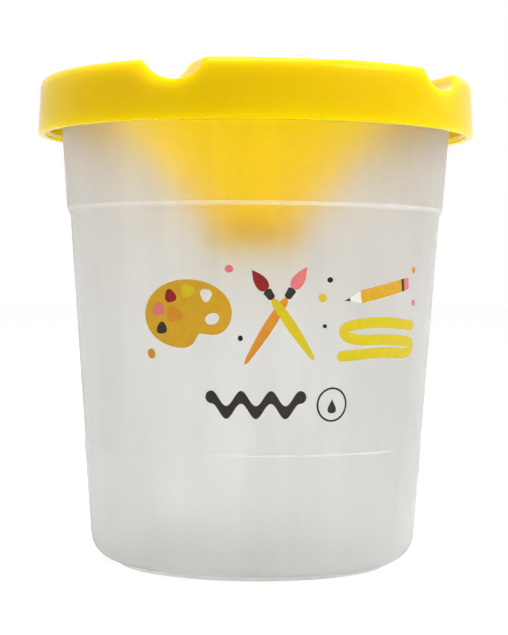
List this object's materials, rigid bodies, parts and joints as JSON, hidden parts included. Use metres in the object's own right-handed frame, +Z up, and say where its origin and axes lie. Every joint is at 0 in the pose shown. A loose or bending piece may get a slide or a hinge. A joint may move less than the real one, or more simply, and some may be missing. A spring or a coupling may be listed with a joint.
{
  "type": "paint cup with lid",
  "caption": "Tapered translucent plastic paint cup with a push-on lid: a funnel to a brush hole, and channels across the top that hold brushes.",
  "frame": {"origin": "middle of the cup's foot, on the surface it stands on", "axes": "+Z up along the cup's axis; the two brush channels of the lid run along Y, one each side of X = 0; the picture looks from -Y, turned 17.5 degrees towards -X"},
  "size_m": [0.084, 0.084, 0.093],
  "materials": {
    "cup_plastic": "frosted translucent polypropylene with a soft sheen",
    "lid_plastic": "glossy moulded polyethylene, warm yellow"
  },
  "bodies": {
    "cup": {"cup": "cup_plastic"},
    "lid": {"lid": "lid_plastic"}
  },
  "joints": [
    {"name": "lid_lift", "type": "slide", "parent": "cup", "child": "lid", "axis": [0, 0, 1], "range_m": [0, 0.05]}
  ]
}
